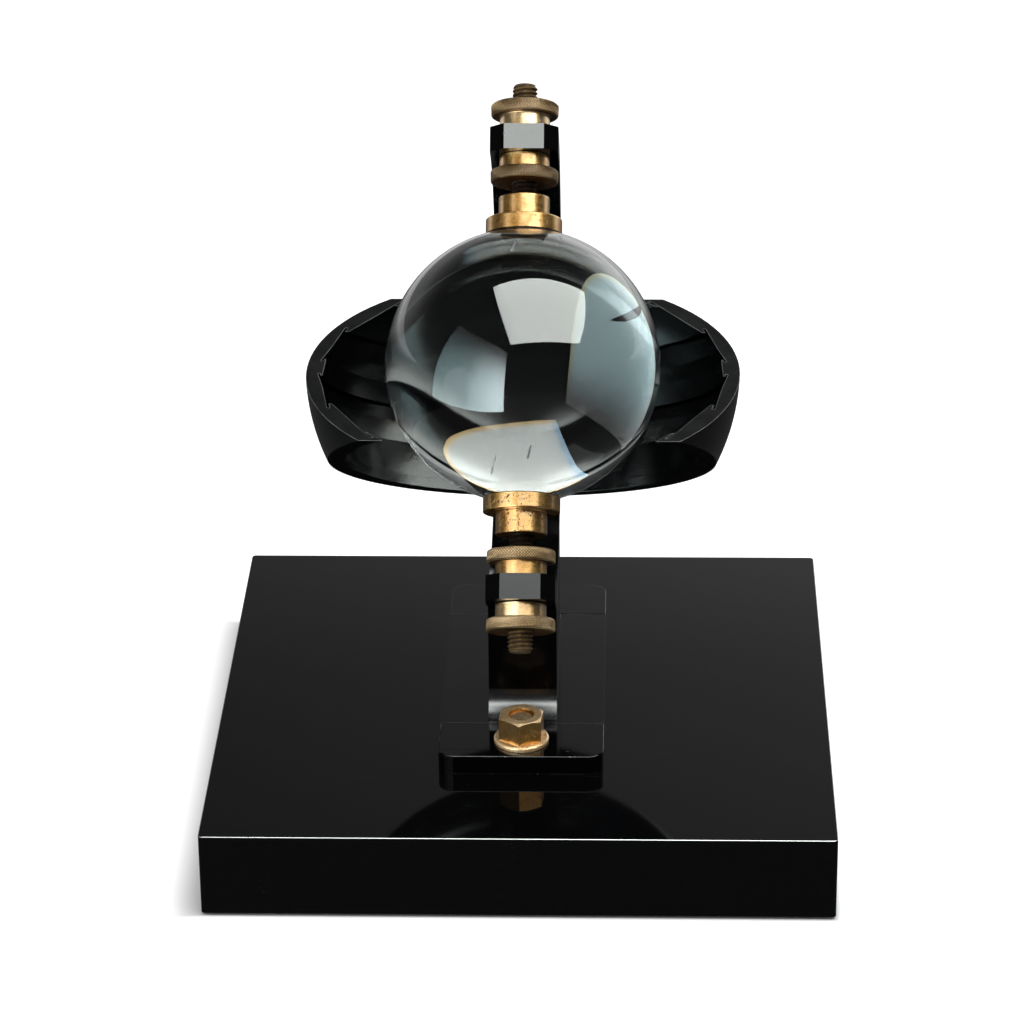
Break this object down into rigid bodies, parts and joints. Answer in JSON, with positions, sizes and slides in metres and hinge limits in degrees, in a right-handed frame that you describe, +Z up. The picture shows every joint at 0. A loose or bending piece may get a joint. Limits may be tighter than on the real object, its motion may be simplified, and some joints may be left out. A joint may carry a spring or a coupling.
{
  "type": "sunshine recorder",
  "caption": "Glass ball held by screw cups on a tilting meridian arc, with a grooved bowl for record cards behind it, on a square base; it burns the sun's track to log sunshine.",
  "frame": {"origin": "centre of the underside of the baize, where the instrument stands", "axes": "+Z up; +Y away from the sun, towards the bowl; +X to the right as seen from the sun's side; the polar axis leans back from the ball's centre in the YZ plane"},
  "size_m": [0.2286, 0.2286, 0.2545],
  "materials": {
    "black_lacquer": "polished black lacquer, mirror gloss",
    "green_baize": "woollen baize",
    "black_enamel": "glossy black stove enamel",
    "black_satin": "satin black",
    "brass": "aged polished brass with small dark specks",
    "dark_brass": "darkened unpolished brass",
    "steel": "bright turned steel",
    "leather": "dark brown hide washer",
    "clear_glass": "clear polished glass"
  },
  "bodies": {
    "stand": {"base_slab": "black_lacquer", "base_baize": "green_baize", "sub_plate": "black_enamel", "pedestal": "black_enamel", "pedestal_screws": "steel", "front_bolt": "dark_brass", "front_washer": "brass", "front_nut": "brass", "rear_bolt": "dark_brass", "rear_washer": "brass", "rear_nut": "brass", "clamp_bolt": "steel", "clamp_washer": "steel", "clamp_nut": "steel"},
    "meridian": {"meridian_arc": "black_enamel", "bowl": "black_satin", "bowl_screws": "dark_brass"},
    "ball": {"glass_ball": "clear_glass"},
    "upper_cup_set": {"upper_cup": "brass", "upper_pad": "leather", "upper_spindle": "dark_brass"},
    "lower_cup_set": {"lower_cup": "brass", "lower_pad": "leather", "lower_spindle": "dark_brass"},
    "upper_inner_nut_body": {"upper_inner_nut": "brass"},
    "upper_outer_nut_body": {"upper_outer_nut": "brass"},
    "lower_inner_nut_body": {"lower_inner_nut": "brass"},
    "lower_outer_nut_body": {"lower_outer_nut": "brass"}
  },
  "joints": [
    {"name": "latitude_tilt", "type": "hinge", "parent": "stand", "child": "meridian", "pos_m": [0, 0.0032, 0.1653], "axis": [1, 0, 0], "range_deg": [-14.75, 5.25]},
    {"name": "ball_turn", "type": "hinge", "parent": "meridian", "child": "ball", "pos_m": [0, 0.0032, 0.1653], "axis": [0, 0.5771, 0.8166], "continuous": true},
    {"name": "upper_cup_travel", "type": "slide", "parent": "meridian", "child": "upper_cup_set", "axis": [0, 0.5771, 0.8166], "range_m": [0, 0.00476]},
    {"name": "upper_inner_nut_turn", "type": "hinge", "parent": "meridian", "child": "upper_inner_nut_body", "pos_m": [0, 0.0032, 0.1653], "axis": [0, -0.5771, -0.8166], "range_deg": [0, 1081]},
    {"name": "upper_outer_nut_turn", "type": "hinge", "parent": "meridian", "child": "upper_outer_nut_body", "pos_m": [0, 0.0032, 0.1653], "axis": [0, -0.5771, -0.8166], "range_deg": [0, 1081]},
    {"name": "lower_cup_travel", "type": "slide", "parent": "meridian", "child": "lower_cup_set", "axis": [0, -0.5771, -0.8166], "range_m": [0, 0.00476]},
    {"name": "lower_inner_nut_turn", "type": "hinge", "parent": "meridian", "child": "lower_inner_nut_body", "pos_m": [0, 0.0032, 0.1653], "axis": [0, 0.5771, 0.8166], "range_deg": [0, 1081]},
    {"name": "lower_outer_nut_turn", "type": "hinge", "parent": "meridian", "child": "lower_outer_nut_body", "pos_m": [0, 0.0032, 0.1653], "axis": [0, 0.5771, 0.8166], "range_deg": [0, 1081]}
  ],
  "couplings": [
    {"joint": "upper_inner_nut_turn", "follows": "upper_cup_travel", "rad_per_m": 3957.9},
    {"joint": "upper_outer_nut_turn", "follows": "upper_cup_travel", "rad_per_m": 3957.9},
    {"joint": "lower_inner_nut_turn", "follows": "lower_cup_travel", "rad_per_m": 3957.9},
    {"joint": "lower_outer_nut_turn", "follows": "lower_cup_travel", "rad_per_m": 3957.9}
  ]
}
